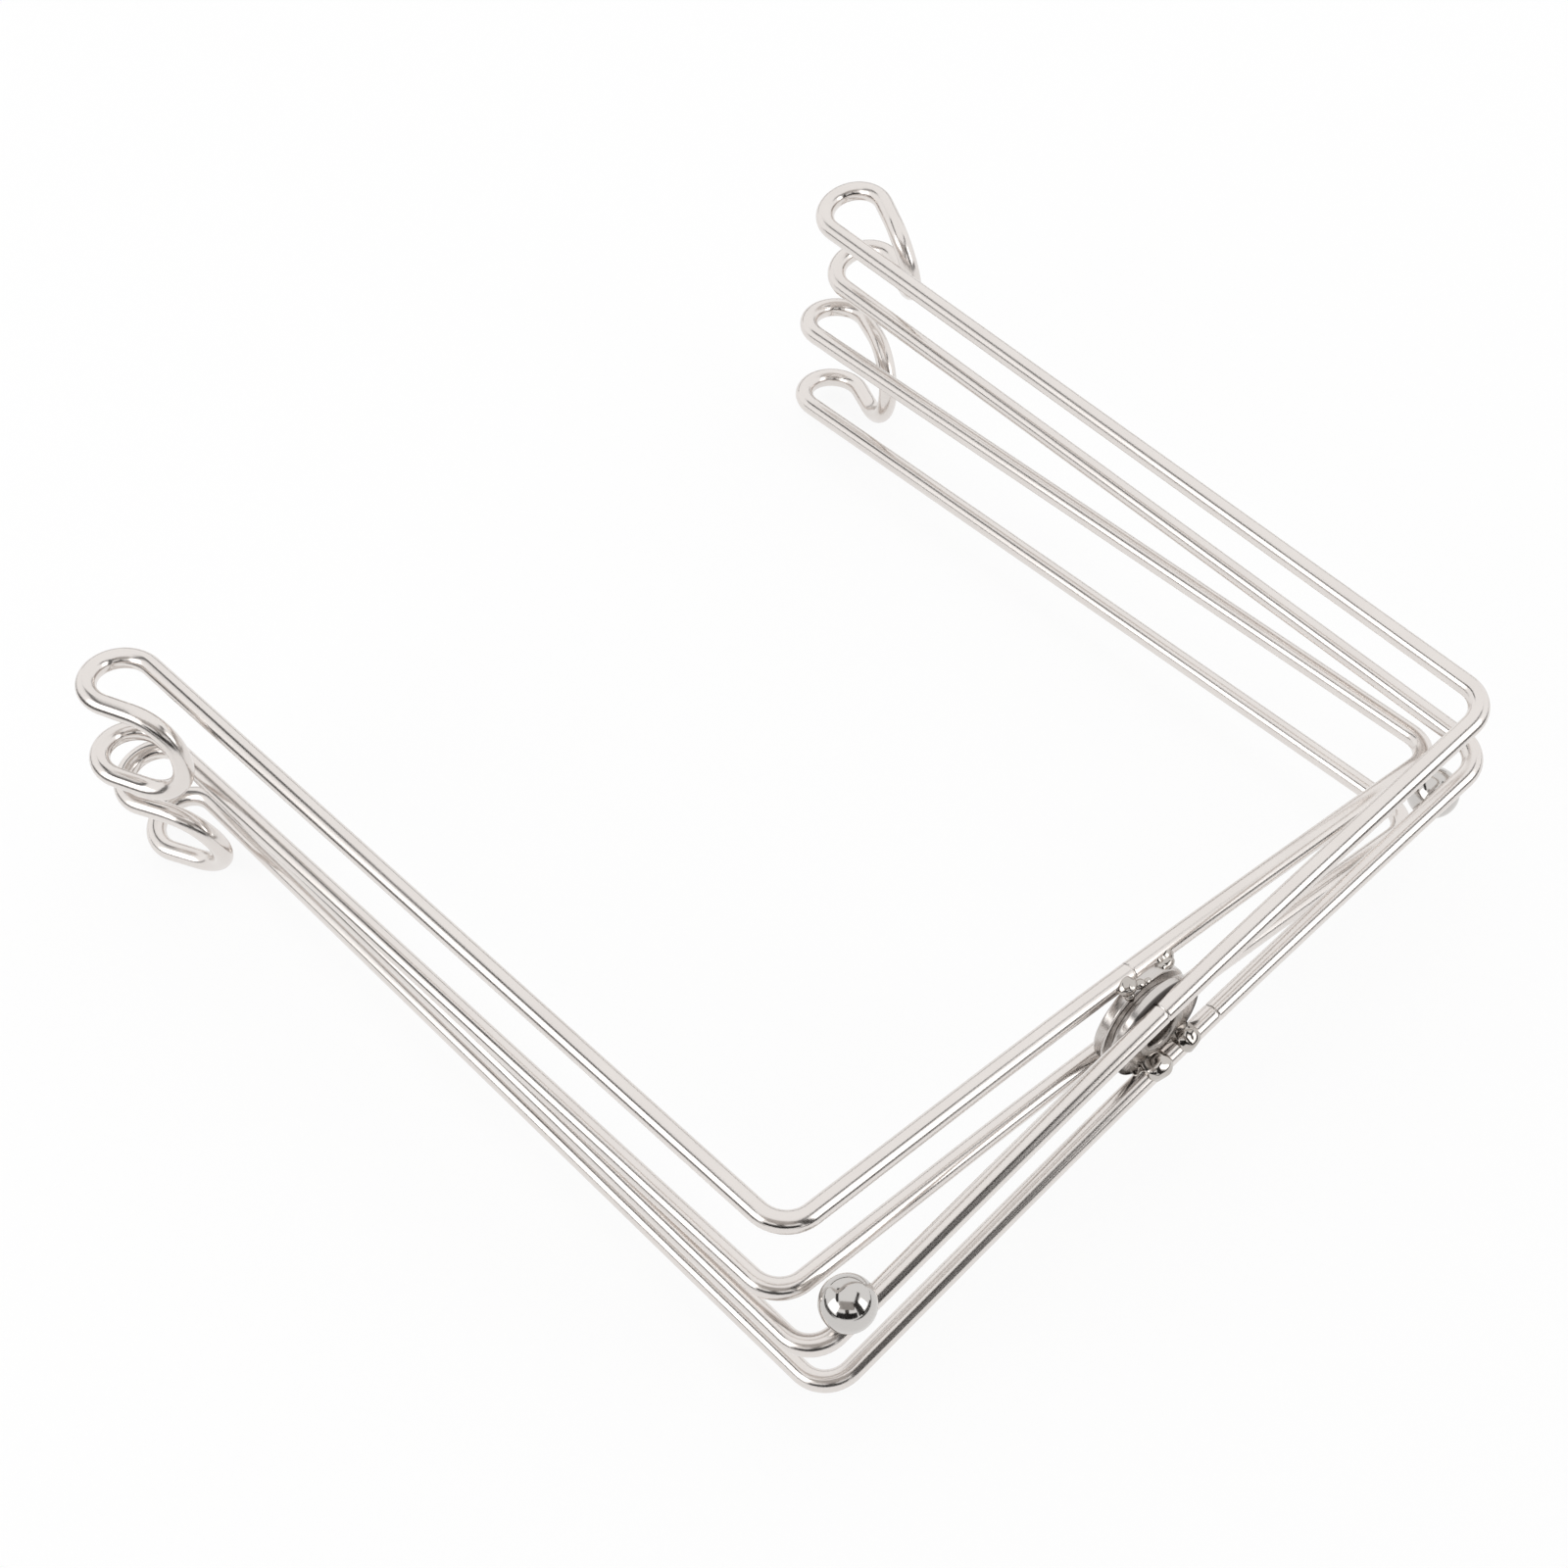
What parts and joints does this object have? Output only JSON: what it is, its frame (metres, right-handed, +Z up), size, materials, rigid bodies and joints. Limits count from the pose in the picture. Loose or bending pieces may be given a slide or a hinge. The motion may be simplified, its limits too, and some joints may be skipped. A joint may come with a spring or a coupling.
{
  "type": "laboratory bag holder stand",
  "caption": "Folding wire stand that holds a sample bag open: crossed wire frames on one pivot, with paired arms that end in curls.",
  "frame": {"origin": "on the bench, under the middle of the folded stand", "axes": "+X along the back to the right, +Y from the back to the curls, +Z up"},
  "size_m": [0.2114, 0.1944, 0.0556],
  "materials": {
    "wire_steel": "satin stainless wire",
    "ring_steel": "satin turned stainless",
    "weld_steel": "bright weld metal",
    "ball_steel": "polished stainless ball"
  },
  "bodies": {
    "rear": {"rear_frame": "wire_steel", "rear_pivot_ring": "ring_steel", "pivot_spacer": "ring_steel", "pivot_eyelet": "ring_steel", "rear_welds": "weld_steel", "rear_ball": "ball_steel"},
    "front": {"front_frame": "wire_steel", "front_pivot_ring": "ring_steel", "front_welds": "weld_steel", "front_ball": "ball_steel"}
  },
  "joints": [
    {"name": "fold_pivot", "type": "hinge", "parent": "rear", "child": "front", "pos_m": [0.00127, -0.08652, 0.0278], "axis": [0, -1, 0], "range_deg": [0, 75]}
  ]
}
